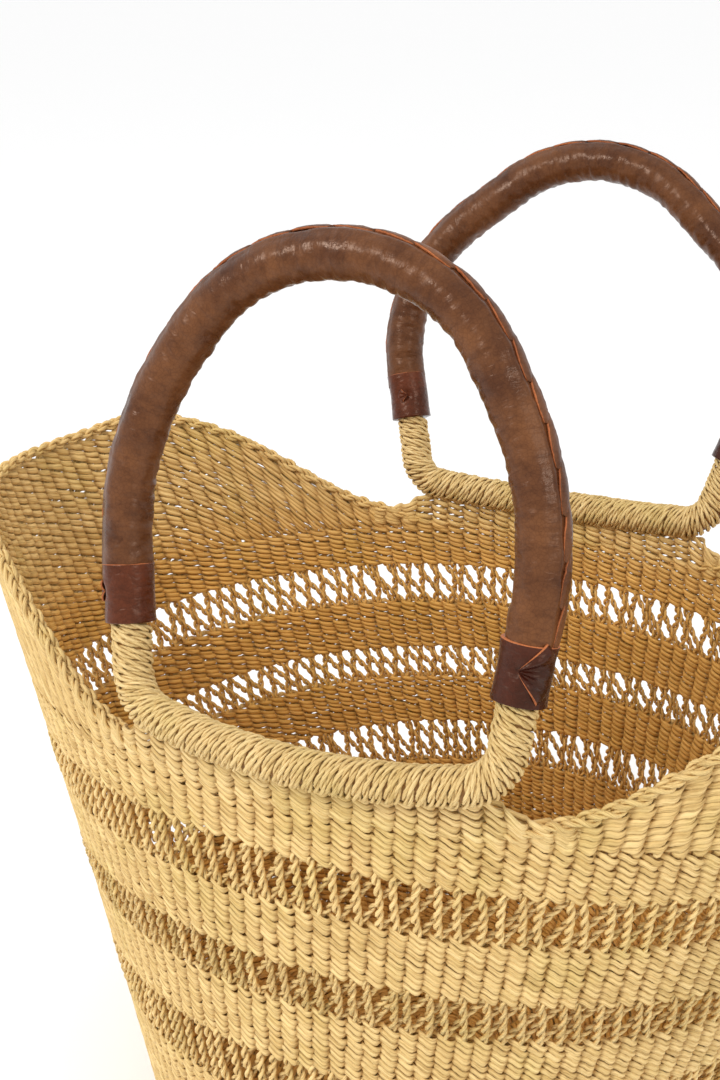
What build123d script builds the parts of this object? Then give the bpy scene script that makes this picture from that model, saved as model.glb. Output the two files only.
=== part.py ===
from build123d import *
import os
from math import cos, pi, radians, sin

# Woven market basket with two looped handles. Millimetres, +Z up, +X along the mouth,
# the front at -Y. The origin is the middle of the underside of the base.

# Driving dimensions of the basket
reference_height = 240.0
half_length = 215.0  # outside, at the reference height
half_depth = 149.0
length_flare = 0.33  # growth of the half length for each millimetre of height
depth_flare = -0.04
tuck_height = 50.0  # below this the wall curls in to the base
wall_thickness = 5.0
base_thickness = 6.0
row_dip = 12.0  # how far a row sinks by dip_reach from the middle
dip_reach = 200.0

# Driving dimensions of the mouth
rim_low = 250.0
rim_rise = 64.0
rim_level_half = 90.0  # half of the level stretch under each handle
rim_crest_half = 222.0
border_height = 6.0
border_proud = 1.0

# Driving dimensions of the handles
bar_half = 80.0  # from the middle of the bar to its corner
bar_offset = 138.0  # from the middle of the basket to the corners of the bar
bar_height = 269.0
bar_sag = 6.4
bar_bow = 9.4
quarter_bend = 0.75  # share of the sag and bow halfway from the middle to a corner
corner_radius = 14.0
core_radius = 5.5
wrap_radius = 8.2
sleeve_radius = 9.75
cuff_radius = 10.4
cuff_low = 33.0  # along the upright, from the bar
cuff_high = 55.0
lacing_width = 6.0
lacing_thickness = 2.4
knot_radius = 4.6
lashing_pitch = 9.5
lashing_count = 13
lashing_radius = 1.0
lashing_gap = 0.1

# Derived dimensions
reach = 260.0  # beyond the basket in every direction
top_height = 330.0
oval_points = 16
tuck_stations = ((0.0, 124.0, 128.0), (14.0, 140.0, 146.0))

# The solid bands and lace bands between the base and the mouth: name, lowest row, highest row
bands = (
    ("lower_lace_band", 98.0, 123.0),
    ("lower_middle_wall", 123.0, 152.0),
    ("middle_lace_band", 152.0, 171.0),
    ("upper_middle_wall", 171.0, 199.0),
    ("upper_lace_band", 199.0, 222.0),
)

# Each handle was bent by hand: name, side, shoulder and crown with their radii, how far both
# have shifted to the right, outward tilt in degrees
handles = (
    ("front", -1, (92.0, 105.0), (42.0, 186.0), (120.0, 72.0), -5.0, -17.0),
    ("rear", 1, (110.0, 107.0), (27.0, 178.0), (83.0, 71.0), -2.0, 20.0),
)

os.makedirs("parts", exist_ok=True)


def save(part, name):
    """Label a finished piece and write it under its node name."""
    part.label = name
    export_step(part, f"parts/{name}.step")


def half_sizes(height):
    """Half length and half depth of the straight part of the wall."""
    rise = height - reference_height
    return half_length + length_flare * rise, half_depth + depth_flare * rise


def oval_solid(inset):
    """The whole basket as a solid, its surface moved in by inset."""
    stations = list(tuck_stations)
    stations += [(height, *half_sizes(height)) for height in (tuck_height, top_height)]
    angles = [2 * pi * index / oval_points for index in range(oval_points)]
    with BuildPart() as solid:
        for height, half_x, half_y in stations:
            with BuildSketch(Plane.XY.offset(height)):
                with BuildLine():
                    Spline(
                        *[((half_x - inset) * cos(a), (half_y - inset) * sin(a)) for a in angles],
                        periodic=True,
                    )
                make_face()
        loft(ruled=True)
    return solid.part


def row_curve(height):
    """A woven row seen from the front: highest in the middle, lower towards the wings."""
    drop = row_dip * (reach / dip_reach) ** 2
    return ThreePointArc((-reach, height - drop), (0, height), (reach, height - drop))


def rim_line(end, offset):
    """The mouth's edge seen from the front, from the level stretch out to one end."""
    low = rim_low - offset
    high = low + rim_rise
    middle = (rim_level_half + rim_crest_half) / 2
    Spline(
        (end * rim_level_half, low),
        (end * middle, (low + high) / 2),
        (end * rim_crest_half, high),
        tangents=[(end, 0), (end, 0)],
    )
    Line((end * rim_crest_half, high), (end * reach, high))


outer_solid = oval_solid(0)
inner_solid = oval_solid(wall_thickness)
wall_top = rim_low - border_height

with BuildPart() as wall_shell:
    add(outer_solid)
    add(inner_solid, mode=Mode.SUBTRACT)

# Base: the woven floor, inside the foot of the wall
with BuildPart() as base:
    add(inner_solid)
    split(bisect_by=Plane.XY.offset(base_thickness), keep=Keep.BOTTOM)
save(base.part, "base")

# Foot wall: solid weave that curls up from the base
with BuildPart() as foot_wall:
    add(wall_shell.part)
    split(bisect_by=Plane.XY.offset(tuck_height), keep=Keep.BOTTOM)
save(foot_wall.part, "foot_wall")

# Lower wall: solid weave from the foot to the first lace band
with BuildPart() as lower_wall:
    add(wall_shell.part)
    with BuildSketch(Plane.XZ):
        with BuildLine():
            top_row = row_curve(bands[0][1])
            Polyline(top_row @ 0, (-reach, tuck_height), (reach, tuck_height), top_row @ 1)
        make_face()
    extrude(amount=reach, both=True, mode=Mode.INTERSECT)
save(lower_wall.part, "lower_wall")

# Lace bands and the solid bands between them
for band_name, low_height, high_height in bands:
    with BuildPart() as band:
        add(wall_shell.part)
        with BuildSketch(Plane.XZ):
            with BuildLine():
                low_row = row_curve(low_height)
                high_row = row_curve(high_height)
                Line(low_row @ 0, high_row @ 0)
                Line(low_row @ 1, high_row @ 1)
            make_face()
        extrude(amount=reach, both=True, mode=Mode.INTERSECT)
    save(band.part, band_name)

# Upper wall: the last full rows, level in the middle and sinking under the wings
with BuildPart() as upper_wall:
    add(wall_shell.part)
    with BuildSketch(Plane.XZ):
        with BuildLine():
            low_row = row_curve(bands[-1][2])
            wing_foot = wall_top - row_dip * (reach / dip_reach) ** 2
            Polyline(
                low_row @ 0,
                (-reach, wing_foot),
                (-rim_level_half, wall_top),
                (rim_level_half, wall_top),
                (reach, wing_foot),
                low_row @ 1,
            )
        make_face()
    extrude(amount=reach, both=True, mode=Mode.INTERSECT)
save(upper_wall.part, "upper_wall")

# Wings: short rows that raise both ends of the mouth, one at each end
wing_ends = (("left_wing", -1), ("right_wing", 1))
for wing_name, end in wing_ends:
    with BuildPart() as wing:
        add(wall_shell.part)
        with BuildSketch(Plane.XZ):
            with BuildLine():
                rim_line(end, border_height)
                Polyline(
                    (end * reach, wall_top + rim_rise),
                    (end * reach, wing_foot),
                    (end * rim_level_half, wall_top),
                )
            make_face()
        extrude(amount=reach, both=True, mode=Mode.INTERSECT)
    save(wing.part, wing_name)

# Rim border: the plaited edge of the mouth, a little thicker than the wall
with BuildPart() as rim_border:
    add(oval_solid(-border_proud))
    add(oval_solid(wall_thickness + border_proud), mode=Mode.SUBTRACT)
    with BuildSketch(Plane.XZ):
        with BuildLine():
            for offset in (0, border_height):
                rim_line(-1, offset)
                rim_line(1, offset)
                Line((-rim_level_half, rim_low - offset), (rim_level_half, rim_low - offset))
            for end in (-1, 1):
                Line((end * reach, rim_low + rim_rise), (end * reach, wall_top + rim_rise))
        make_face()
    extrude(amount=reach, both=True, mode=Mode.INTERSECT)
save(rim_border.part, "rim_border")


def handle_plane(side, tilt):
    """Plane of a handle: its X along the bar, its Y up through the loop, leaning out by tilt."""
    lean = radians(tilt)
    return Plane(
        origin=(0, side * bar_offset, bar_height),
        x_dir=(1, 0, 0),
        z_dir=(0, -cos(lean), side * sin(lean)),
    )


def arch_path(plane, shoulder, crown, bends, shift):
    """Centre line from the bar up one side, over the arch and down to the bar again."""
    foot = [(bar_half - corner_radius, 0), (bar_half, 0)]
    right_side = [*foot, *[(x + shift, y) for x, y in (shoulder, crown)]]
    left_side = [*[(shift - x, y) for x, y in (crown, shoulder)], *[(-x, y) for x, y in foot[::-1]]]
    radii = [corner_radius, *bends]
    with BuildLine(plane) as path:
        FilletPolyline(*right_side, *left_side, radius=[*radii, *reversed(radii)])
    return path.wire()


def bar_path(side):
    """Centre line of the bar, which bows out along the mouth and sags a little."""
    ends = bar_half - corner_radius
    bend_points = ((-ends, 0), (-bar_half / 2, quarter_bend), (0, 1), (bar_half / 2, quarter_bend), (ends, 0))
    with BuildLine() as path:
        Spline(
            *[
                (x, side * (bar_offset + bar_bow * share), bar_height - bar_sag * share)
                for x, share in bend_points
            ],
            tangents=[(1, 0, 0), (1, 0, 0)],
        )
    return path.wire()


def tube(path, outer_radius, inner_radius=0):
    """A round tube along a centre line, or a solid rod when it has no inner radius."""
    with BuildPart() as solid:
        with BuildSketch(Plane(origin=path @ 0, z_dir=path % 0)):
            Circle(outer_radius)
            if inner_radius:
                Circle(inner_radius, mode=Mode.SUBTRACT)
        sweep(path=path)
    return solid.part


def between(solid, plane, low, high):
    """The stretch of a handle between two distances from its bar."""
    with BuildPart() as stretch:
        add(solid)
        split(bisect_by=Plane(plane.origin, z_dir=plane.y_dir).offset(low), keep=Keep.TOP)
        split(bisect_by=Plane(plane.origin, z_dir=plane.y_dir).offset(high), keep=Keep.BOTTOM)
    return stretch.part


for handle_name, side, shoulder, crown, bends, shift, tilt in handles:
    plane = handle_plane(side, tilt)
    arch = arch_path(plane, shoulder, crown, bends, shift)
    bar = bar_path(side)
    handle_top = crown[1] + reach

    # Cores: the bundled grass hoop inside the handle, bent in two lengths
    with BuildPart() as arch_core:
        add(tube(arch, core_radius))
    save(arch_core.part, f"{handle_name}_arch_core")

    with BuildPart() as bar_core:
        add(tube(bar, core_radius))
    save(bar_core.part, f"{handle_name}_bar_core")

    # Grass wraps: cord wound round the bar, and from its corners up both uprights
    with BuildPart() as bar_wrap:
        add(tube(bar, wrap_radius, core_radius))
    save(bar_wrap.part, f"{handle_name}_bar_wrap")

    with BuildPart() as upright_wrap:
        add(between(tube(arch, wrap_radius, core_radius), plane, -reach, cuff_low))
    save(upright_wrap.part, f"{handle_name}_upright_wrap")

    # Bar lashing: stitches round the bar that tie it to the mouth
    with BuildPart() as bar_lashing:
        for index in range(lashing_count):
            along = 0.5 + (index - (lashing_count - 1) / 2) * lashing_pitch / (2 * bar_half)
            with Locations(Plane(origin=bar @ along, z_dir=bar % along)):
                Torus(wrap_radius + lashing_gap + lashing_radius, lashing_radius)
    save(bar_lashing.part, f"{handle_name}_bar_lashing")

    # Leather sleeve: the tube over the arch, between the cuffs
    with BuildPart() as leather_sleeve:
        add(between(tube(arch, sleeve_radius, core_radius), plane, cuff_high, handle_top))
    save(leather_sleeve.part, f"{handle_name}_leather_sleeve")

    # Seam lacing: the flat thong along the outer ridge of the sleeve
    with BuildPart() as ridge:
        with BuildSketch(Plane(origin=arch @ 0, x_dir=plane.z_dir, z_dir=arch % 0)):
            with Locations((0, sleeve_radius)):
                Rectangle(lacing_width, 2 * lacing_thickness)
            Circle(sleeve_radius, mode=Mode.SUBTRACT)
        sweep(path=arch)
    with BuildPart() as seam_lacing:
        add(between(ridge.part, plane, cuff_high, handle_top))
    save(seam_lacing.part, f"{handle_name}_seam_lacing")

    # Cuffs and their knots: leather bands over the two ends of the sleeve
    cuff_rings = between(tube(arch, cuff_radius, core_radius), plane, cuff_low, cuff_high)
    for end_name, end in (("left", -1), ("right", 1)):
        with BuildPart() as cuff:
            add(cuff_rings)
            split(bisect_by=Plane.YZ, keep=Keep.TOP if end > 0 else Keep.BOTTOM)
        save(cuff.part, f"{handle_name}_{end_name}_cuff")

        middle = cuff.part.center(CenterOf.BOUNDING_BOX)
        with BuildPart() as knot:
            with Locations(Plane(middle, z_dir=plane.z_dir).offset(cuff_radius)):
                Sphere(knot_radius)
            add(cuff.part, mode=Mode.SUBTRACT)
        save(knot.part, f"{handle_name}_{end_name}_knot")
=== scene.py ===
from math import cos, pi, radians, sin, tan

import bpy
import numpy as np
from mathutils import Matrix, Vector, noise


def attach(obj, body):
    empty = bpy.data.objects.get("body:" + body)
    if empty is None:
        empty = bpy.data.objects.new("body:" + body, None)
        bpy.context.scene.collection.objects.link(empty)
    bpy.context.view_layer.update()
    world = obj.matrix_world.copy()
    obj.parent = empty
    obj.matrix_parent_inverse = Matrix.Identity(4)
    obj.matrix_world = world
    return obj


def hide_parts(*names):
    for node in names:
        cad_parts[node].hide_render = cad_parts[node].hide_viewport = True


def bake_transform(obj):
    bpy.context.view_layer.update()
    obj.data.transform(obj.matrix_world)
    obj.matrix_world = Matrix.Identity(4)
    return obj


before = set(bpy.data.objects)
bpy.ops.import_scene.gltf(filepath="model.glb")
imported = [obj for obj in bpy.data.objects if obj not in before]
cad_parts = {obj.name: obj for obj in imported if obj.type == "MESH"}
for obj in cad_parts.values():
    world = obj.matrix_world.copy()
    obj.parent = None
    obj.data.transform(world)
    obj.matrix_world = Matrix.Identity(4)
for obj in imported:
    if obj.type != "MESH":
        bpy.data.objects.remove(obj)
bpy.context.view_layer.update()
rng = np.random.default_rng(7)

MM = 0.001

# Sizes of the basket, as in the CAD, in metres
reference_height = 240 * MM
half_length = 215 * MM
half_depth = 149 * MM
length_flare = 0.33
depth_flare = -0.04
tuck_height = 50 * MM
tuck_length = 11.8 * MM  # how far the foot curls in, at the ends and at the sides
tuck_depth = 30.6 * MM
wall_thickness = 5 * MM
row_dip = 12 * MM
dip_reach = 200 * MM
rim_low = 250 * MM
rim_rise = 64 * MM
rim_level_half = 90 * MM
rim_crest_half = 222 * MM
border_height = 6 * MM
shoulder_lift = 4 * MM  # the rim stands a little fuller where it leaves the handles
tip_drop = 5 * MM  # and sinks a little at the very tips of the wings
shoulder_from = 84 * MM  # where that fuller stretch starts and ends
shoulder_to = 150 * MM
tip_from = 212 * MM
border_middle = 0.55 * border_height  # middle of the plaited edge, below the mouth's top

# Sizes of the weave
stake_count = 136
row_pitch = 2.9 * MM
foot_row_pitch = 3.5 * MM
wing_row_pitch = 3.2 * MM
stake_radius = 0.85 * MM
stitch_thin = 0.8 * MM  # half thickness of a strand where it passes over a stake
stitch_thick = 1.1 * MM  # half thickness where two strands cross between stakes
row_wobble = 0.25 * MM  # how far a row strays up and down
row_samples = 6  # points on a strand for each stake
far_samples = 4  # the same low on the wall and under the basket
plait_swing = 2 * MM  # how far the cords of the plaited edge swing in and out
plait_lift = 1.15 * MM
plait_cord = 1.75 * MM  # radius of one of its cords
pale_from = 218 * MM  # above this height the painted shade on the inside of the weave grows paler
pale_over = 50 * MM
pale_share = 0.7  # how much paler that painted shade gets
inner_shade_depth = 2.2 * MM  # how deep into the wall the painted inner shade sets in

# Sizes of the handles, as in the CAD
bar_half = 80 * MM
bar_offset = 138 * MM
bar_height = 269 * MM
bar_sag = 6.4 * MM
bar_bow = 9.4 * MM
corner_radius = 14 * MM
wrap_radius = 8.2 * MM
sleeve_radius = 9.75 * MM
cuff_radius = 10.4 * MM
cuff_low = 33 * MM
cuff_high = 55 * MM
lacing_pitch = 15.5 * MM

# Each handle: name, side, shoulder and crown with their radii (mm), shift (mm), outward tilt
handles = (
    ("front", -1, (92, 105), (42, 186), (120, 72), -5, -17.0),
    ("rear", 1, (110, 107), (27, 178), (83, 71), -2, 20.0),
)


# Materials

WHITE = (1, 1, 1, 1)


def new_material(name):
    """An empty node material and its shader."""
    material = bpy.data.materials.new(name)
    material.use_nodes = True
    shader = material.node_tree.nodes["Principled BSDF"]
    return material, material.node_tree, shader


def add_node(tree, kind, **values):
    """A new node with its sockets or properties set."""
    node = tree.nodes.new(kind)
    for key, value in values.items():
        if key in node.inputs:
            node.inputs[key].default_value = value
        else:
            setattr(node, key, value)
    return node


def ramp(tree, factor, stops):
    """A colour ramp fed by a factor."""
    node = tree.nodes.new("ShaderNodeValToRGB")
    elements = node.color_ramp.elements
    elements[0].position, elements[0].color = stops[0]
    elements[1].position, elements[1].color = stops[-1]
    for position, color in stops[1:-1]:
        elements.new(position).color = color
    tree.links.new(factor, node.inputs["Fac"])
    return node.outputs["Color"]


def mix(tree, factor, first, second, blend_type="MIX"):
    """Two colours mixed by a factor, which is a socket or a number."""
    node = tree.nodes.new("ShaderNodeMix")
    node.data_type = "RGBA"
    node.blend_type = blend_type
    for socket, value in ((0, factor), (6, first), (7, second)):
        if isinstance(value, bpy.types.NodeSocket):
            tree.links.new(value, node.inputs[socket])
        else:
            node.inputs[socket].default_value = value
    return node.outputs[2]


def grass_material(name, light, dark, inner):
    """Dried grass: streaks along each strand, its own tone, painted shade in the gaps and painted
    warm shade on the inner face.
    """
    material, tree, shader = new_material(name)
    uv = add_node(tree, "ShaderNodeUVMap", uv_map="strand")
    stretch = add_node(tree, "ShaderNodeMapping")
    stretch.inputs["Scale"].default_value = (70, 11, 1)
    streaks = add_node(tree, "ShaderNodeTexNoise", Scale=1.0, Detail=4.0, Roughness=0.7)
    tree.links.new(uv.outputs["UV"], stretch.inputs["Vector"])
    tree.links.new(stretch.outputs["Vector"], streaks.inputs["Vector"])
    coords = add_node(tree, "ShaderNodeTexCoord")
    patches = add_node(tree, "ShaderNodeTexNoise", Scale=30.0, Detail=3.0, Roughness=0.6)
    tree.links.new(coords.outputs["Object"], patches.inputs["Vector"])
    shade = add_node(tree, "ShaderNodeVertexColor", layer_name="shade")
    parts = add_node(tree, "ShaderNodeSeparateColor")
    tree.links.new(shade.outputs["Color"], parts.inputs["Color"])
    streak_color = ramp(tree, streaks.outputs["Fac"], [(0.36, dark), (0.54, light), (0.8, light)])
    toned = mix(tree, parts.outputs["Red"], (0.82, 0.75, 0.62, 1), (1.1, 1.1, 1.14, 1))
    color = mix(tree, 1.0, streak_color, toned, "MULTIPLY")
    patch_tint = ramp(
        tree, patches.outputs["Fac"], [(0.34, (0.95, 0.95, 0.84, 1)), (0.5, (1.02, 1.0, 0.97, 1))]
    )
    color = mix(tree, 1.0, color, patch_tint, "MULTIPLY")
    # Green mixes in the inner colour: painted warm shade on faces turned into the basket
    color = mix(tree, 1.0, color, mix(tree, parts.outputs["Green"], WHITE, inner), "MULTIPLY")
    # Blue darkens the colour towards dark brown: painted shade in the gaps
    gap_shade = mix(tree, parts.outputs["Blue"], WHITE, (0.42, 0.27, 0.13, 1))
    color = mix(tree, 1.0, color, gap_shade, "MULTIPLY")
    tree.links.new(color, shader.inputs["Base Color"])
    bump = add_node(tree, "ShaderNodeBump", Strength=0.7, Distance=0.0005)
    tree.links.new(streaks.outputs["Fac"], bump.inputs["Height"])
    tree.links.new(bump.outputs["Normal"], shader.inputs["Normal"])
    shader.inputs["Roughness"].default_value = 0.55
    shader.inputs["Specular IOR Level"].default_value = 0.35
    return material


def leather_material(name, light, dark, roughness, wrinkle=0.5):
    """Waxed leather: mottled colour, fine grain, painted shade in the creases and uneven gloss."""
    material, tree, shader = new_material(name)
    coords = add_node(tree, "ShaderNodeTexCoord")
    mottle = add_node(tree, "ShaderNodeTexNoise", Scale=42.0, Detail=7.0, Roughness=0.62)
    tree.links.new(coords.outputs["Object"], mottle.inputs["Vector"])
    uv = add_node(tree, "ShaderNodeUVMap", uv_map="strand")
    stretch = add_node(tree, "ShaderNodeMapping")
    stretch.inputs["Scale"].default_value = (380, 9, 1)
    wrinkles = add_node(tree, "ShaderNodeTexNoise", Scale=1.0, Detail=4.0, Roughness=0.55)
    wrinkles.inputs["Distortion"].default_value = 0.8
    tree.links.new(uv.outputs["UV"], stretch.inputs["Vector"])
    tree.links.new(stretch.outputs["Vector"], wrinkles.inputs["Vector"])
    grains = add_node(tree, "ShaderNodeTexVoronoi", feature="DISTANCE_TO_EDGE", Scale=620.0)
    tree.links.new(coords.outputs["Object"], grains.inputs["Vector"])
    color = ramp(tree, mottle.outputs["Fac"], [(0.34, dark), (0.66, light)])
    # Painted shade: the colour darkens in the low places of the wrinkle bump
    crease_shade = ramp(tree, wrinkles.outputs["Fac"], [(0.36, (0.8, 0.76, 0.74, 1)), (0.5, WHITE)])
    color = mix(tree, 1.0, color, crease_shade, "MULTIPLY")
    pores = ramp(tree, grains.outputs["Distance"], [(0.0, (0.78, 0.74, 0.72, 1)), (0.12, WHITE)])
    color = mix(tree, 1.0, color, pores, "MULTIPLY")
    tree.links.new(color, shader.inputs["Base Color"])
    rough = add_node(tree, "ShaderNodeMapRange")
    rough.inputs["From Min"].default_value = 0.3
    rough.inputs["From Max"].default_value = 0.7
    rough.inputs["To Min"].default_value = roughness - 0.1
    rough.inputs["To Max"].default_value = roughness + 0.14
    tree.links.new(mottle.outputs["Fac"], rough.inputs["Value"])
    tree.links.new(rough.outputs["Result"], shader.inputs["Roughness"])
    fine = add_node(tree, "ShaderNodeBump", Strength=0.35, Distance=0.0002)
    tree.links.new(grains.outputs["Distance"], fine.inputs["Height"])
    coarse = add_node(tree, "ShaderNodeBump", Strength=wrinkle, Distance=0.0007)
    tree.links.new(wrinkles.outputs["Fac"], coarse.inputs["Height"])
    tree.links.new(fine.outputs["Normal"], coarse.inputs["Normal"])
    tree.links.new(coarse.outputs["Normal"], shader.inputs["Normal"])
    shader.inputs["Specular IOR Level"].default_value = 0.34
    shader.inputs["Specular Tint"].default_value = (1, 0.72, 0.55, 1)
    return material


def floor_material():
    """Plain pale floor."""
    material, _, shader = new_material("floor")
    shader.inputs["Base Color"].default_value = (0.97, 0.97, 0.97, 1)
    shader.inputs["Roughness"].default_value = 0.7
    return material


# The third colour of each grass is painted warm shade for the faces turned into the basket
woven_grass = grass_material(
    "woven_grass", (0.80, 0.60, 0.27, 1), (0.50, 0.33, 0.115, 1), (0.94, 0.72, 0.40, 1)
)
grass_cord = grass_material(
    "grass_cord", (0.80, 0.61, 0.29, 1), (0.52, 0.35, 0.125, 1), (0.93, 0.78, 0.52, 1)
)
brown_leather = leather_material(
    "brown_leather", (0.145, 0.053, 0.018, 1), (0.066, 0.021, 0.008, 1), 0.29, 0.5
)
dark_leather = leather_material(
    "dark_leather", (0.060, 0.011, 0.005, 1), (0.020, 0.004, 0.002, 1), 0.24, 0.8
)
red_leather = leather_material(
    "red_leather", (0.12, 0.026, 0.009, 1), (0.052, 0.011, 0.004, 1), 0.26, 0.6
)
thong_leather = leather_material(
    "leather_thong", (0.18, 0.066, 0.024, 1), (0.08, 0.026, 0.010, 1), 0.36, 0.4
)
raw_edge = leather_material("raw_edge", (0.50, 0.16, 0.055, 1), (0.32, 0.09, 0.03, 1), 0.6, 0.1)


# Mesh building


class Strands:
    """Collects many thin tubes and turns them into one mesh.

    Its colour attribute shade holds tone in red, painted warm shade of the inner face in green and
    painted shade of the gaps in blue.
    """

    def __init__(self, sides):
        self.sides = sides
        self.middle = None
        self.points = []
        self.quads = []
        self.caps = []
        self.uvs = []
        self.shades = []
        self.total = 0

    def add(
        self, centres, across, along, half_across, half_along, tone, face=None, gap_shade=0.0, closed=False
    ):
        """One tube. across and along are unit vectors of its section at each centre.

        face is the outward direction of the weave, for the painted warm shade on the side turned
        inwards:
        self.middle then holds the middle surface of the weave at each centre.
        """
        count = len(centres)
        sides = self.sides
        angles = np.arange(sides) * 2 * pi / sides
        half_across = np.broadcast_to(half_across, count)[:, None, None]
        half_along = np.broadcast_to(half_along, count)[:, None, None]
        swing = (
            np.cos(angles)[None, :, None] * across[:, None, :]
            + np.sin(angles)[None, :, None] * along[:, None, :]
        )
        rings = (
            centres[:, None, :]
            + np.cos(angles)[None, :, None] * half_across * across[:, None, :]
            + np.sin(angles)[None, :, None] * half_along * along[:, None, :]
        )
        self.points.append(rings.reshape(-1, 3))
        spans = count if closed else count - 1
        ring = np.arange(spans)[:, None] * sides
        following = (np.arange(spans)[:, None] + 1) % count * sides
        side = np.arange(sides)[None, :]
        beside = (side + 1) % sides
        quads = np.stack([ring + side, ring + beside, following + beside, following + side], -1)
        self.quads.append(quads.reshape(-1, 4) + self.total)
        step = np.linalg.norm(np.diff(centres, axis=0, append=centres[:1]), axis=1)
        run = np.concatenate([[0], np.cumsum(step)]) + rng.random() * 10
        low, high = run[:spans, None], run[1 : spans + 1, None]
        left, right = side / sides, (side + 1) / sides
        corners = [(low, left), (low, right), (high, right), (high, left)]
        shift = 21 * float(np.mean(tone))  # so that strands don't share their streaks
        uv = np.stack([np.stack(np.broadcast_arrays(u, v + shift), -1) for u, v in corners], 2)
        self.uvs.append(uv.reshape(-1, 2))
        shade = np.zeros((count, sides, 4))
        shade[..., 0] = np.broadcast_to(tone, count)[:, None]
        shade[..., 3] = 1
        # Green: painted warm shade on the faces turned inwards, fading near the mouth
        if face is not None:
            facing = (swing * face[:, None, :]).sum(-1)
            depth = ((centres - self.middle) * face).sum(-1)
            pale = smoothstep((centres[:, 2] - pale_from) / pale_over)
            inside = smoothstep(0.45 - 0.6 * facing - depth[:, None] / inner_shade_depth)
            shade[..., 1] = inside * (1 - pale_share * pale)[:, None]
        # Blue: painted shade of the gaps
        shade[..., 2] = np.broadcast_to(gap_shade, count)[:, None]
        self.shades.append(shade.reshape(-1, 4))
        if not closed:
            self.caps.append(np.arange(sides)[::-1] + self.total)
            self.caps.append(np.arange(sides) + self.total + (count - 1) * sides)
        self.total += count * sides

    def build(self, name, material):
        """The mesh object of every tube added so far."""
        points = np.concatenate(self.points)
        quads = np.concatenate(self.quads)
        uvs = np.concatenate(self.uvs)
        caps = np.array(self.caps, int).reshape(-1, self.sides)
        mesh = bpy.data.meshes.new(name)
        mesh.vertices.add(len(points))
        mesh.vertices.foreach_set("co", points.ravel())
        corner_vertices = np.concatenate([quads.ravel(), caps.ravel()])
        quad_starts = np.arange(len(quads)) * 4
        cap_starts = len(quads) * 4 + np.arange(len(caps)) * self.sides
        mesh.loops.add(len(corner_vertices))
        mesh.loops.foreach_set("vertex_index", corner_vertices)
        mesh.polygons.add(len(quads) + len(caps))
        mesh.polygons.foreach_set("loop_start", np.concatenate([quad_starts, cap_starts]))
        layer = mesh.uv_layers.new(name="strand")
        cap_uvs = np.zeros((caps.size, 2))
        layer.data.foreach_set("uv", np.concatenate([uvs, cap_uvs]).ravel())
        colors = mesh.color_attributes.new("shade", "FLOAT_COLOR", "POINT")
        colors.data.foreach_set("color", np.concatenate(self.shades).ravel())
        mesh.update(calc_edges=True)
        mesh.validate()
        mesh.shade_smooth()
        mesh.materials.append(material)
        piece = bpy.data.objects.new(name, mesh)
        bpy.context.scene.collection.objects.link(piece)
        return piece


def unit(vectors):
    return vectors / np.linalg.norm(vectors, axis=-1, keepdims=True)


def smoothstep(value):
    value = np.clip(value, 0, 1)
    return value * value * (3 - 2 * value)


def running_length(path):
    """The length along a path up to each of its points."""
    return np.concatenate([[0], np.cumsum(np.linalg.norm(np.diff(path, axis=0), axis=1))])


# The wall's surface


def half_sizes(height):
    """Outside half length and half depth of the basket at a height, with its curled foot."""
    rise = height - reference_height
    curl = np.clip(1 - height / tuck_height, 0, 1) ** 4
    return (
        half_length + length_flare * rise - tuck_length * curl,
        half_depth + depth_flare * rise - tuck_depth * curl,
    )


def make_stake_angles():
    """The oval's angle for evenly spaced stakes, from running length round the wall."""
    angles = np.linspace(0, 2 * pi, 4001)
    long, deep = half_sizes(200 * MM)
    speed = np.hypot(long * np.sin(angles), deep * np.cos(angles))
    length = np.concatenate([[0], np.cumsum((speed[1:] + speed[:-1]) / 2)])
    return angles, length / length[-1] * stake_count


angle_table, stake_table = make_stake_angles()


def stake_angle(stake):
    """Angle round the oval of a stake number, which may be fractional."""
    turns = np.floor_divide(stake, stake_count)
    return np.interp(stake - turns * stake_count, stake_table, angle_table) + 2 * pi * turns


def wall(angle, height):
    """Mid-wall point, outward normal and upward direction of the wall."""
    step = 0.5 * MM

    def surface(a, h):
        long, deep = half_sizes(h)
        inset = wall_thickness / 2
        return np.stack([(long - inset) * np.cos(a), (deep - inset) * np.sin(a), h + 0 * a], -1)

    point = surface(angle, height)
    up = unit(surface(angle, height + step) - surface(angle, height))
    round_ = unit(surface(angle + 0.001, height) - surface(angle - 0.001, height))
    return point, unit(np.cross(round_, up)), up


def rim_height(x):
    """Height of the mouth's edge at a distance from the middle."""
    out = np.abs(x)
    span = rim_crest_half - rim_level_half
    rise = rim_rise * smoothstep((out - rim_level_half) / span)
    starting = smoothstep((out - shoulder_from) / (16 * MM))
    fuller = starting * (1 - smoothstep((out - shoulder_to) / (60 * MM)))
    tip = smoothstep((out - tip_from) / (22 * MM))
    return rim_low + rise + shoulder_lift * fuller - tip_drop * tip


def dipped(height, angle):
    """A row's height at an angle: rows sink towards the wings."""
    long, _ = half_sizes(height)
    return height - row_dip * (long * np.cos(angle) / dip_reach) ** 2


def rim_at(angle):
    """Height of the mouth's edge at an angle round the oval."""
    height = np.full_like(angle, rim_low)
    for _ in range(4):
        long, _ = half_sizes(height)
        height = rim_height(long * np.cos(angle))
    return height


def smooth_noise(count, period, closed=True):
    """Slow random values from -1 to 1 along a row, one for every sample."""
    knots = rng.uniform(-1, 1, max(4, int(count / period)))
    places = np.linspace(0, len(knots), count, endpoint=False)
    lower = np.floor(places).astype(int)
    blend = smoothstep(places - lower)
    following = (lower + 1) % len(knots) if closed else np.minimum(lower + 1, len(knots) - 1)
    return knots[lower] * (1 - blend) + knots[following] * blend


# Twined weave


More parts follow.
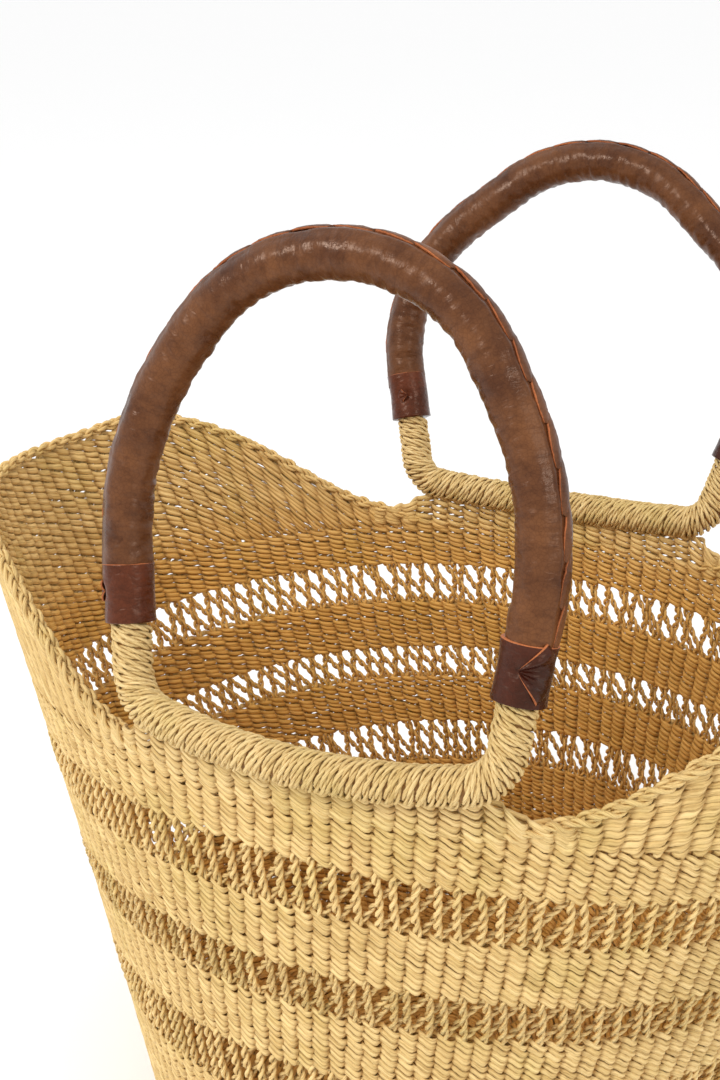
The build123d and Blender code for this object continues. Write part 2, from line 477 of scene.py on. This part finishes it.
def twined_row(strands, surface, stakes, pitch, samples, closed=True, taper=None, bulk=1.0):
    """Two strands that pass in front of and behind each stake and cross between stakes.

    surface holds the mid-wall point, outward normal and upward direction at each of the stakes,
    which are numbers that rise by one from stake to stake.
    """
    point, normal, up = surface
    count = len(stakes)
    fade = np.ones(count) if taper is None else taper
    row_tone = rng.normal(0, 0.07)
    strands.middle = point
    for strand in (0, 1):
        jitter = smooth_noise(count, samples * 1.0, closed)
        drift = smooth_noise(count, samples * 5.0, closed)
        phase = pi * (stakes + strand + 0.09 * drift)
        swing = np.cos(phase)
        full = np.abs(swing)
        reach = (stake_radius + stitch_thin) * bulk * (1 + 0.09 * jitter)
        outward = reach * np.sign(swing) * full**0.34 * fade
        slant = -0.44 * np.sin(phase) - 0.12 * np.sin(2 * phase)
        rise = pitch * (slant - 0.10 * (full - 0.5) + 0.12 * drift + 0.08 * jitter)
        half_height = pitch * (0.49 + 0.03 * full) * (1 + 0.10 * jitter) * (0.4 + 0.6 * fade)
        thickness = (stitch_thick + (stitch_thin - stitch_thick) * full) * (0.4 + 0.6 * fade)
        centres = point + normal * outward[:, None] + up * rise[:, None]
        tone = 0.5 + 0.33 * smooth_noise(count, samples * 1.6, closed) + row_tone
        tone = np.clip(tone + 0.12 * drift, 0, 1)
        # Painted shade, darkest where the two strands cross between stakes
        gap_shade = 0.55 * (1 - full) ** 2.6
        strands.add(centres, normal, up, thickness, half_height, tone, normal, gap_shade, closed)


def wall_rows(strands, low, high, samples, flat_low=False):
    """Full rows of twining between two dipped heights of the wall, and the stakes in them."""
    rows = max(1, round((high - low) / row_pitch))
    stakes = np.arange(stake_count * samples) / samples
    angles = stake_angle(stakes)
    for row in range(rows):
        share = (row + 0.5) / rows
        bottom = low + 0 * angles if flat_low else dipped(low, angles)
        height = bottom + (dipped(high, angles) - bottom) * share
        pitch = (high - low) / rows
        wobble = row_wobble * smooth_noise(len(stakes), samples * 9.0)
        twined_row(strands, wall(angles, height + wobble), stakes, pitch, samples)
    share = np.linspace(0, 1, 5)
    for stake in range(stake_count):
        angle = np.full(len(share), stake_angle(stake))
        bottom = low if flat_low else dipped(low, angle)
        point, normal, up = wall(angle, bottom + (dipped(high, angle) - bottom) * share)
        strands.middle = point
        sideways = np.cross(up, normal)
        # The stakes sit deep in the weave and are painted half into shade
        strands.add(point, normal, sideways, 0.8 * MM, 1.3 * MM, 0.4, normal, 0.5)


def finish_piece(piece, body, slot, *nodes):
    """Put a piece on its body and hide the CAD nodes that it stands for. slot is not used."""
    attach(piece, body)
    if nodes:
        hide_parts(*nodes)


def make_solid_band(name, low, high, samples, flat_low=False):
    strands = Strands(5)
    wall_rows(strands, low, high, samples, flat_low)
    finish_piece(strands.build(name + "_weave", woven_grass), "basket", "woven_grass", name)


def make_foot():
    """Rows of the curled foot, spaced along its curve."""
    strands = Strands(5)
    samples = far_samples
    stakes = np.arange(stake_count * samples) / samples
    angles = stake_angle(stakes)
    heights = np.linspace(2 * MM, tuck_height, 200)
    _, deep = half_sizes(heights)
    run = np.concatenate([[0], np.cumsum(np.hypot(np.diff(heights), np.diff(deep)))])
    rows = round(run[-1] / foot_row_pitch)
    for row in range(rows):
        height = np.interp((row + 0.5) / rows * run[-1], run, heights)
        surface = wall(angles, height + 0 * angles)
        twined_row(strands, surface, stakes, foot_row_pitch, samples)
    finish_piece(strands.build("foot_wall_weave", woven_grass), "basket", "woven_grass", "foot_wall")


def make_wings():
    """Short rows under the sloping rim, one set at each end, over the last full rows."""
    samples = row_samples
    top = rim_low - border_height
    for name, middle in (("right_wing", 0), ("left_wing", stake_count / 2)):
        strands = Strands(6)
        spread = stake_count // 4
        stakes = np.arange(-spread * samples, spread * samples + 1) / samples + middle
        angles = stake_angle(stakes)
        foot = dipped(top, angles)
        crest = rim_at(angles) - border_height
        rows = int(rim_rise / wing_row_pitch) + 8
        for row in range(rows):
            height = crest - (row + 0.5) * wing_row_pitch
            room = (height - foot) / wing_row_pitch
            inside = np.flatnonzero(room > -0.15)
            if len(inside) < samples * 4:
                continue
            part = slice(inside[0], inside[-1] + 1)
            ends = np.minimum(np.arange(len(stakes[part])), np.arange(len(stakes[part]))[::-1])
            taper = np.clip(ends / samples + 0.35, 0, 1)
            wobble = row_wobble * smooth_noise(len(stakes[part]), samples * 9.0, False)
            here = np.maximum(height, foot + 0.3 * wing_row_pitch)[part] + wobble
            surface = wall(angles[part], here)
            twined_row(strands, surface, stakes[part], wing_row_pitch * 1.05, samples, False, taper)
        finish_piece(strands.build(name + "_weave", woven_grass), "basket", "woven_grass", name)


def make_base():
    """Rings of twining across the floor, with fewer stakes towards the middle."""
    strands = Strands(5)
    long, deep = half_sizes(0.5 * MM)
    height = 3 * MM
    samples = far_samples
    rings = int(min(long, deep) / row_pitch) - 1
    for ring in range(rings):
        scale = 1 - (ring + 0.6) / rings * 0.985
        stakes_here = stake_count
        while 2 * pi * scale * long / stakes_here < 5.2 * MM and stakes_here > 8:
            stakes_here //= 2
        stakes_here += stakes_here % 2
        stakes = np.arange(stakes_here * samples) / samples
        angles = stakes / stakes_here * 2 * pi
        x, y = long * scale * np.cos(angles), deep * scale * np.sin(angles)
        point = np.stack([x, y, height + 0 * angles], -1)
        down = np.tile([0.0, 0.0, -1.0], (len(angles), 1))
        outward = unit(point * [1, 1, 0])
        twined_row(strands, (point, down, outward), stakes, row_pitch, samples)
    finish_piece(strands.build("base_weave", woven_grass), "basket", "woven_grass", "base")


# Two-ply cords


def two_ply(strands, path, radius, lay, hint, tone, turn, face=None):
    """A cord of two twisted plies along a path. lay is the length of one full twist."""
    tangent = unit(np.gradient(path, axis=0))
    across = unit(np.cross(tangent, np.broadcast_to(hint, path.shape)))
    other = np.cross(tangent, across)
    run = running_length(path)
    for ply in (0, 1):
        angle = 2 * pi * run / lay + pi * ply + turn
        swing = np.cos(angle)[:, None] * across + np.sin(angle)[:, None] * other
        centres = path + swing * radius * 0.5
        ply_tone = np.clip(tone + rng.normal(0, 0.1), 0, 1)
        edge = np.cross(tangent, swing)
        strands.middle = centres
        thick = np.ravel(radius)
        strands.add(centres, swing, edge, thick * 0.52, thick * 0.66, ply_tone, face)


def make_lace_band(name, low, high):
    """Openwork: near-upright cords outside, slanting cords inside, both tucked into the rows."""
    strands = Strands(5)
    tuck = 1.4 * MM
    share = np.linspace(0, 1, 17)
    layers = ((-0.35, 1.4 * MM, 1.9 * MM), (2.1, -1.5 * MM, 1.6 * MM))  # lean, depth, radius
    for stake in range(stake_count):
        for lean, depth, radius in layers:
            shift = rng.normal(0, 0.11)
            bend = rng.normal(0, 0.12)
            position = stake + 0.4 * shift + (lean + shift) * share + bend * np.sin(pi * share)
            angles = stake_angle(position)
            bottom = dipped(low, angles) - tuck
            top = dipped(high, angles) + tuck
            point, normal, up = wall(angles, bottom + (top - bottom) * share)
            path = point + normal * (depth * np.sin(pi * share) ** 0.5)[:, None]
            # Lighter tone than the rows: painted light against the shadow the cords sit in
            tone = rng.uniform(0.5, 1.0)
            two_ply(strands, path, radius, 10 * MM, normal, tone, rng.uniform(0, pi), normal)
    finish_piece(strands.build(name + "_cords", woven_grass), "basket", "woven_grass", name)


def make_rim_border():
    """A plait of three twisted cords along the whole edge of the mouth."""
    strands = Strands(6)
    samples = 10
    stakes = np.arange(stake_count * samples + 1) / samples
    angles = stake_angle(stakes)
    height = rim_at(angles) - border_middle
    point, normal, _ = wall(angles, height)
    tangent = unit(np.gradient(point, axis=0))
    up = unit(np.cross(normal, tangent))
    up *= np.sign(up[:, 2:3])
    under_bar = 1 - smoothstep((np.abs(point[:, 0]) - 70 * MM) / (14 * MM))
    size = 1 - 0.45 * under_bar
    point = point - up * (2 * MM * under_bar)[:, None]
    plaits = stake_count // 3
    for strand in range(3):
        phase = 2 * pi * (stakes / stake_count * plaits + strand / 3)
        side = plait_swing * size * np.sin(phase)
        wobble = 0.3 * MM * smooth_noise(len(stakes), samples * 3.0)
        lift = plait_lift * size * np.sin(2 * phase) + wobble
        path = point + normal * side[:, None] + up * lift[:, None]
        radius = plait_cord * size
        two_ply(strands, path, radius[:, None], 13 * MM, up, 0.55, 2.0 * strand, normal)
    finish_piece(
        strands.build("rim_border_plait", woven_grass), "basket", "woven_grass", "rim_border"
    )


# Handles


def rounded_line(points, radii, step):
    """Points along a line whose corners are rounded with the given radii."""
    points = [np.array(p, float) for p in points]
    line = [points[0]]
    for before, corner, after, radius in zip(points, points[1:], points[2:], radii):
        back, forward = unit(before - corner), unit(after - corner)
        half_turn = (pi - np.arccos(np.clip(back @ forward, -1, 1))) / 2
        cut = radius * tan(half_turn)
        start, end = corner + back * cut, corner + forward * cut
        centre = corner + unit(back + forward) * radius / cos(half_turn)
        first = start - centre
        last = end - centre
        pieces = max(4, int(2 * half_turn * radius / step))
        for share in np.linspace(0, 1, pieces):
            angle = share * 2 * half_turn
            mixed = (first * sin(2 * half_turn - angle) + last * sin(angle)) / sin(2 * half_turn)
            line.append(centre + mixed)
    line.append(points[-1])
    return np.array(line)


def resample(path, step):
    """The same path with evenly spaced points."""
    run = running_length(path)
    count = max(4, int(run[-1] / step) + 1)
    places = np.linspace(0, run[-1], count)
    return np.stack([np.interp(places, run, path[:, k]) for k in range(path.shape[1])], -1)


class Handle:
    """The centre lines of one handle in the basket's frame."""

    def __init__(self, name, side, shoulder, crown, bends, shift, tilt):
        self.name = name
        self.side = side
        self.body = name + "_handle"
        lean = radians(tilt)
        self.origin = np.array([0, side * bar_offset, bar_height])
        self.up = np.array([0, side * sin(lean), cos(lean)])
        self.normal = np.cross([1.0, 0, 0], self.up)
        foot = [(bar_half - corner_radius, 0), (bar_half, 0)]
        right = [*foot, *[((x + shift) * MM, y * MM) for x, y in (shoulder, crown)]]
        left = [((shift - x) * MM, y * MM) for x, y in (crown, shoulder)]
        left += [(-x, y) for x, y in foot[::-1]]
        radii = [corner_radius, *[bend * MM for bend in bends]]
        path = rounded_line([*right, *left], radii + radii[::-1], 0.5 * MM)
        self.arch = resample(path, 0.5 * MM)

    def place(self, flat):
        """Points given along the bar and up the loop, in the basket's frame."""
        bend = bar_bend(flat[:, 0]) * (1 - smoothstep(flat[:, 1] / corner_radius))
        bowed = np.stack([0 * bend, self.side * bar_bow * bend, -bar_sag * bend], -1)
        return self.origin + flat[:, :1] * [1.0, 0, 0] + flat[:, 1:2] * self.up + bowed

    def stretch(self, low, high, right=None):
        """The part of the arch between two heights above the bar, on one side or both."""
        flat = self.arch
        keep = (flat[:, 1] >= low) & (flat[:, 1] <= high)
        if right is not None:
            keep &= (flat[:, 0] > 0) == right
        return self.place(flat[keep])

    def grip_line(self):
        """From one cuff down, along the bowed bar, and up to the other cuff."""
        right = self.stretch(-1, cuff_low + 3 * MM, True)
        left = self.stretch(-1, cuff_low + 3 * MM, False)
        ends = bar_half - corner_radius
        x = np.linspace(-ends, ends, 200)[1:-1]
        bar = self.place(np.stack([x, 0 * x], -1))
        return np.concatenate([left, bar, right])

    def section(self, path):
        """Unit vectors across a path: outwards in the handle's plane, and across that plane."""
        tangent = unit(np.gradient(path, axis=0))
        sideways = unit(self.normal - tangent * (tangent @ self.normal)[:, None])
        return tangent, np.cross(tangent, sideways), sideways


def bar_bend(x):
    """How far the bar has bowed and sagged at a distance from its middle, from 0 to 1."""
    return np.clip(1 - (x / bar_half) ** 2, 0, 1)


def along_path(values, run, places):
    """Rows of values, given at each running length, read at other places."""
    return np.stack([np.interp(places, run, values[:, k]) for k in range(values.shape[1])], -1)


def make_wraps(handle):
    """Two-ply cords wound side by side round the bar and the uprights."""
    strands = Strands(6)
    path = resample(handle.grip_line(), 0.5 * MM)
    run = running_length(path)
    _, outward, sideways = handle.section(path)
    starts = 5  # cords wound side by side
    cord = 2.5 * MM
    lead = starts * cord
    per_turn = 26
    for start in range(starts):
        count = int(run[-1] / lead * per_turn)
        angle = np.arange(count) / per_turn * 2 * pi
        along = angle / (2 * pi) * lead + start * cord
        along += 0.55 * MM * smooth_noise(count, 34, False)
        along += 0.3 * MM * smooth_noise(count, 9, False)
        along = np.clip(along, 0, run[-1])
        out = along_path(outward, run, along)
        wide = along_path(sideways, run, along)
        swing = np.cos(angle)[:, None] * out + np.sin(angle)[:, None] * wide
        radius = wrap_radius - 1.3 * MM + 0.3 * MM * smooth_noise(count, 20, False)
        centres = along_path(path, run, along) + swing * radius[:, None]
        tone = 0.55 + 0.3 * smooth_noise(count, 30, False)
        two_ply(strands, centres, 1.45 * MM, 15 * MM, swing, tone, start)
    core = Strands(12)
    thick = wrap_radius - 2 * MM
    # The hoop under the wraps is painted dark: painted shade between the cords
    core.add(path[::4], outward[::4], sideways[::4], thick, thick, 0.2, None, 0.9)
    inner = core.build(handle.name + "_hoop", grass_cord)
    finish_piece(
        inner, handle.body, "grass_bundle", handle.name + "_arch_core", handle.name + "_bar_core"
    )
    wraps = strands.build(handle.name + "_wraps", grass_cord)
    finish_piece(
        wraps, handle.body, "grass_cord", handle.name + "_bar_wrap", handle.name + "_upright_wrap"
    )


def make_lashing(handle):
    """The last rows of weave, which run up from the mouth and close over the bar's underside."""
    strands = Strands(6)
    samples = row_samples
    rows = 5
    middle = stake_count * (0.75 if handle.side < 0 else 0.25)
    spread = 13  # stakes on each side of the middle
    stakes = np.arange(-spread * samples, spread * samples + 1) / samples + middle
    angles = stake_angle(stakes)
    low, outward, _ = wall(angles, np.full_like(angles, rim_low - border_height))
    bend = bar_bend(low[:, 0])
    high = low.copy()
    high[:, 1] = handle.side * (bar_offset + bar_bow * bend)
    high[:, 2] = bar_height - bar_sag * bend - 5.5 * MM
    ending = smoothstep((np.abs(low[:, 0]) - 72 * MM) / (20 * MM))[:, None]
    high = high * (1 - ending) + (low + [0, 0, 8 * MM]) * ending
    ends = np.minimum(np.arange(len(stakes)), np.arange(len(stakes))[::-1])
    taper = np.clip(ends / samples, 0, 1)
    pitch = np.mean(high[:, 2] - low[:, 2]) / rows * 1.05
    up = unit(high - low)
    normal = unit(outward - up * (outward * up).sum(-1)[:, None])
    for row in range(rows):
        share = (row + 0.5) / rows
        surface = (low + (high - low) * share, normal, up)
        twined_row(strands, surface, stakes, pitch, samples, False, taper, 1.25)
    piece = strands.build(handle.name + "_lashing", grass_cord)
    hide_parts(handle.name + "_bar_lashing")
    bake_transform(piece)


def grid_mesh(name, points, uvs, materials, face_material=None):
    """A capped mesh from a grid of points, wrapped round its second axis."""
    rows, columns = points.shape[:2]
    row = np.arange(rows - 1)[:, None]
    column = np.arange(columns)[None, :]
    beside = (column + 1) % columns
    quads = np.stack(
        [
            row * columns + column,
            row * columns + beside,
            (row + 1) * columns + beside,
            (row + 1) * columns + column,
        ],
        -1,
    ).reshape(-1, 4)
    faces = quads.tolist()
    faces.append(list(range(columns))[::-1])
    faces.append(list(range((rows - 1) * columns, rows * columns)))
    mesh = bpy.data.meshes.new(name)
    mesh.from_pydata(points.reshape(-1, 3).tolist(), [], faces)
    layer = mesh.uv_layers.new(name="strand")
    corner = np.array([loop.vertex_index for loop in mesh.loops])
    layer.data.foreach_set("uv", uvs.reshape(-1, 2)[corner].ravel())
    for material in materials:
        mesh.materials.append(material)
    if face_material is not None:
        index = np.zeros(len(faces), int)
        index[: len(quads)] = np.broadcast_to(face_material, (rows - 1, columns)).ravel()
        mesh.polygons.foreach_set("material_index", index)
    mesh.shade_smooth()
    piece = bpy.data.objects.new(name, mesh)
    bpy.context.scene.collection.objects.link(piece)
    return piece


def field_noise(points, scale, seed):
    """Smooth noise at every point, from about -1 to 1."""
    shift = Vector((seed, seed * 2.0, seed * 3.0))
    flat = points.reshape(-1, 3)
    values = [noise.noise(Vector(p) * scale + shift) for p in flat]
    return np.array(values).reshape(points.shape[:-1])


def make_sleeve(handle):
    """The leather tube over the arch, lumpy from the bundle in it, with fine cross wrinkles."""
    step = 0.8 * MM
    path = resample(handle.stretch(cuff_high - 6 * MM, 1), step)
    run = running_length(path)
    _, outward, sideways = handle.section(path)
    columns = 60
    angle = np.arange(columns) / columns * 2 * pi
    direction = (
        np.cos(angle)[None, :, None] * outward[:, None, :]
        + np.sin(angle)[None, :, None] * sideways[:, None, :]
    )
    points = path[:, None, :] + direction * sleeve_radius
    lumps = field_noise(points, 60, 3) * 0.55 * MM
    unrolled = np.stack(np.broadcast_arrays(run[:, None], np.cos(angle), np.sin(angle)), -1)
    folds = field_noise(unrolled * [230, 1.3, 1.3], 1.0, 5)
    gathers = field_noise(unrolled * [420, 2.6, 2.6], 1.0, 9)
    inner_side = smoothstep(0.55 - 0.75 * np.cos(angle))[None, :]
    welt = np.exp(-((np.abs((angle + pi) % (2 * pi) - pi) - 0.5) / 0.13) ** 2)[None, :]
    scallop = 0.6 + 0.4 * np.abs(np.sin(pi * run[:, None] / lacing_pitch))
    radius = sleeve_radius + lumps + 0.7 * MM * welt * scallop
    radius += folds * (0.25 + 0.40 * inner_side) * MM
    radius += gathers * (0.14 + 0.22 * inner_side) * MM
    warped = path[:, None, :] + direction * radius[..., None]
    uvs = np.stack(np.broadcast_arrays(run[:, None], angle[None, :] / (2 * pi)), -1)
    piece = grid_mesh(handle.name + "_sleeve", warped, uvs, [brown_leather])
    finish_piece(piece, handle.body, "brown_leather", handle.name + "_leather_sleeve")


def make_lacing(handle):
    """A flat thong whipped over the seam, each stitch a leaf that overlaps the next."""
    path = resample(handle.stretch(cuff_high - 1 * MM, 1), 0.5 * MM)
    run = running_length(path)
    _, outward, sideways = handle.section(path)
    rows, columns = 19, 11
    across = np.linspace(-1, 1, columns)
    share = np.linspace(0, 1, rows)
    edge = np.zeros(2 * columns, int)
    edge[columns - 1] = 1
    pieces = []
    for number in range(int(run[-1] / lacing_pitch)):
        centre_along = (number + share * 1.35) * lacing_pitch
        around = radians(8) - radians(34) * share + 0.05 * rng.normal()
        width = 3.5 * MM * np.sin(pi * (0.03 + 0.94 * share)) ** 0.55
        turn = around[:, None] + across[None, :] * width[:, None] / sleeve_radius
        slant = across[None, :] * width[:, None] * 0.6
        along = np.clip(centre_along[:, None] + slant, 0, run[-1])
        lift = sleeve_radius + 0.2 * MM + 0.8 * MM * np.sin(pi * share) ** 0.7
        height = lift[:, None] + (1 - across**2)[None, :] * 0.5 * MM
        height = height + 0.08 * MM * rng.normal(size=height.shape)
        at = along_path(path, run, along.ravel()).reshape(rows, columns, 3)
        out = along_path(outward, run, along.ravel()).reshape(rows, columns, 3)
        wide = along_path(sideways, run, along.ravel()).reshape(rows, columns, 3)
        swing = np.cos(turn)[..., None] * out + np.sin(turn)[..., None] * wide
        top = at + swing * height[..., None]
        under = at + swing * (height - 1.0 * MM)[..., None]
        ring = np.concatenate([top, under[:, ::-1]], axis=1)
        uv = np.stack(np.broadcast_arrays(along, turn / (2 * pi)), -1)
        ring_uv = np.concatenate([uv, uv[:, ::-1]], axis=1)
        name = f"{handle.name}_stitch_{number}"
        pieces.append(grid_mesh(name, ring, ring_uv, [thong_leather, raw_edge], edge))
    piece = join_pieces(pieces, handle.name + "_lacing")
    finish_piece(piece, handle.body, "leather_thong", handle.name + "_seam_lacing")


def join_pieces(pieces, name):
    """Join mesh objects that share their materials into one."""
    bpy.ops.object.select_all(action="DESELECT")
    for piece in pieces:
        piece.select_set(True)
    bpy.context.view_layer.objects.active = pieces[0]
    bpy.ops.object.join()
    pieces[0].name = name
    return pieces[0]


class Cuff:
    """One leather band round the end of the sleeve: places on it by angle and height."""

    def __init__(self, handle, end_name, right):
        self.handle = handle
        self.name = f"{handle.name}_{end_name}"
        path = handle.stretch(cuff_low - 1 * MM, cuff_high + 1 * MM, right)
        if path[0, 2] > path[-1, 2]:
            path = path[::-1]
        self.path = resample(path, 0.4 * MM)
        self.run = running_length(self.path)
        _, self.outward, self.sideways = handle.section(self.path)
        if not right:
            self.outward = -self.outward
        self.outward *= 1 if (self.outward[0, 0] > 0) == right else -1

    def point(self, angle, along, radius):
        """Angle 0 faces away from the loop, and 90 degrees faces the front."""
        shape = np.broadcast(angle, along, radius).shape
        angle, along, radius = [np.broadcast_to(v, shape).ravel() for v in (angle, along, radius)]
        inside = np.clip(along, 0, self.run[-1])
        centre = along_path(self.path, self.run, inside)
        centre += (self.path[-1] - self.path[0]) / self.run[-1] * (along - inside)[:, None]
        out = along_path(self.outward, self.run, inside)
        wide = along_path(self.sideways, self.run, inside)
        swing = np.cos(angle)[:, None] * out + np.sin(angle)[:, None] * wide
        return (centre + swing * radius[:, None]).reshape(*shape, 3)


def make_band(cuff, material, pinch, flare):
    """The cuff's band: a flared tube, dented where its thong is pulled through."""
    columns = 96
    angle = (np.arange(columns) / columns * 2 * pi)[None, :]
    along = np.linspace(0, cuff.run[-1], 60)[:, None]
    share = along / cuff.run[-1]
    rough = cuff.point(angle, along, cuff_radius)
    radius = cuff_radius + flare * (2 * share - 1) ** 2 - 0.2 * MM
    radius = radius + field_noise(rough, 95, 11) * 0.45 * MM
    radius = radius + field_noise(rough, 520, 17) * 0.14 * MM
    pinch_angle, pinch_along, _ = pinch
    away = np.hypot((angle - pinch_angle) * cuff_radius, along - pinch_along)
    radius = radius - 1.3 * MM * np.exp(-((away / (2.2 * MM)) ** 2))
    radius[0] -= 1.4 * MM
    radius[-1] -= 1.4 * MM
    points = cuff.point(angle, along, radius)
    uvs = np.stack(np.broadcast_arrays(along, angle / (2 * pi)), -1)
    raw = np.zeros((len(along) - 1, columns), int)
    raw[-1] = 1
    piece = grid_mesh(cuff.name + "_band", points, uvs, [material, raw_edge], raw)
    finish_piece(piece, cuff.handle.body, "dark_leather", cuff.name + "_cuff")


def make_flap(cuff, material, pinch, sweep):
    """The loose end of the cuff, drawn into a pinch and fanned out in folds."""
    pinch_angle, pinch_along, size = pinch
    rays, rings = 41, 15
    thickness = 0.7 * MM
    ray = np.linspace(-1, 1, rays)[None, :] * radians(sweep)
    share = np.linspace(0.04, 1, rings)[:, None]
    reach = size * (1 + 0.12 * np.cos(3 * ray) + 0.10 * np.abs(ray))
    angle = pinch_angle - share * reach * np.cos(ray) / cuff_radius
    along = pinch_along + share * reach * np.sin(ray)
    fold = 0.55 * MM * np.cos(9.5 * ray + 0.8) * np.sin(pi * share) ** 0.7
    rim = (np.abs(ray) / radians(sweep)) ** 4 * np.sin(pi * share) ** 0.5
    scale = size / (12 * MM)
    lift = cuff_radius - 0.7 * MM + 1.8 * MM * share**0.45 - 0.7 * MM * share**3
    lift = lift + (fold + 0.7 * MM * rim) * scale
    top = cuff.point(angle, along, lift)
    under = cuff.point(angle, along, lift - thickness)
    ring = np.concatenate([top, under[:, ::-1]], axis=1)
    uv = np.stack(np.broadcast_arrays(along, angle / (2 * pi)), -1)
    ring_uv = np.concatenate([uv, uv[:, ::-1]], axis=1)
    edge = np.zeros(2 * rays, int)
    edge[[0, rays - 2, rays - 1, 2 * rays - 1]] = 1  # both straight sides, top and edge
    piece = grid_mesh(cuff.name + "_flap", ring, ring_uv, [material, raw_edge], edge)
    finish_piece(piece, cuff.handle.body, "dark_leather", cuff.name + "_knot")


def make_handle(handle):
    make_wraps(handle)
    make_lashing(handle)
    make_sleeve(handle)
    make_lacing(handle)
    for end_name, right in (("left", False), ("right", True)):
        cuff = Cuff(handle, end_name, right)
        material, degrees, height, size, sweep, flare = cuff_styles[cuff.name]
        pinch = (radians(degrees), height * MM, size * MM)
        make_band(cuff, material, pinch, flare * MM)
        make_flap(cuff, material, pinch, sweep)


# Each cuff: leather, pinch angle and height, flap size, half the flap's sweep, flare of the band
cuff_styles = {
    "front_left": (red_leather, 40, 13, 4.5, 70, 0.1),
    "front_right": (dark_leather, 86, 13.5, 15, 52, 0.7),
    "rear_left": (red_leather, 108, 12, 4.5, 50, 0.2),
    "rear_right": (dark_leather, 80, 12, 10, 60, 0.5),
}

# The object

# Each band: name, lowest and highest height (mm)
bands = (
    ("lower_middle_wall", 123, 152),
    ("upper_middle_wall", 171, 199),
    ("upper_wall", 222, 244),
)
laces = (
    ("lower_lace_band", 98, 123),
    ("middle_lace_band", 152, 171),
    ("upper_lace_band", 199, 222),
)

for band_name, low, high in bands:
    make_solid_band(band_name, low * MM, high * MM, row_samples)
make_solid_band("lower_wall", tuck_height, 98 * MM, far_samples, True)
for lace_name, low, high in laces:
    make_lace_band(lace_name, low * MM, high * MM)


make_foot()
make_wings()
make_base()
make_rim_border()
for values in handles:
    make_handle(Handle(*values))

# Floor, light and camera

floor_size = 80
bpy.ops.mesh.primitive_plane_add(size=floor_size, location=(0, 0, 0))
floor = bpy.context.object
floor.name = "floor"
floor.data.materials.append(floor_material())

world = bpy.data.worlds.new("studio")
bpy.context.scene.world = world
world.use_nodes = True
world.node_tree.nodes["Background"].inputs["Color"].default_value = (1, 1, 1, 1)
world.node_tree.nodes["Background"].inputs["Strength"].default_value = 1.0


def add_light(name, location, size, power):
    """A square lamp that faces the basket."""
    data = bpy.data.lights.new(name, "AREA")
    data.shape = "SQUARE"
    data.size = size
    data.energy = power
    light = bpy.data.objects.new(name, data)
    light.location = location
    facing = lamp_target - Vector(location)
    light.rotation_euler = facing.to_track_quat("-Z", "Y").to_euler()
    bpy.context.scene.collection.objects.link(light)


lamp_target = Vector((0, 0, 0.25))
add_light("key", (-0.8, -1.2, 1.7), 0.45, 17)
add_light("fill", (1.4, -0.7, 1.2), 0.4, 5)

camera_data = bpy.data.cameras.new("camera")
camera_data.lens = 54.3
camera_data.sensor_width = 36
camera_data.shift_x = -0.0863  # the basket stands off centre in the frame
camera = bpy.data.objects.new("camera", camera_data)
bpy.context.scene.collection.objects.link(camera)
view_azimuth, view_elevation, view_distance = radians(23.6), radians(22.96), 0.7325
look_at = Vector((0, 0, 0.3))
back = Vector(
    (
        sin(view_azimuth) * cos(view_elevation),
        -cos(view_azimuth) * cos(view_elevation),
        sin(view_elevation),
    )
)
camera.location = look_at + back * view_distance
camera.rotation_euler = (-back).to_track_quat("-Z", "Y").to_euler()
bpy.context.scene.camera = camera
bpy.context.scene.view_settings.view_transform = "Standard"
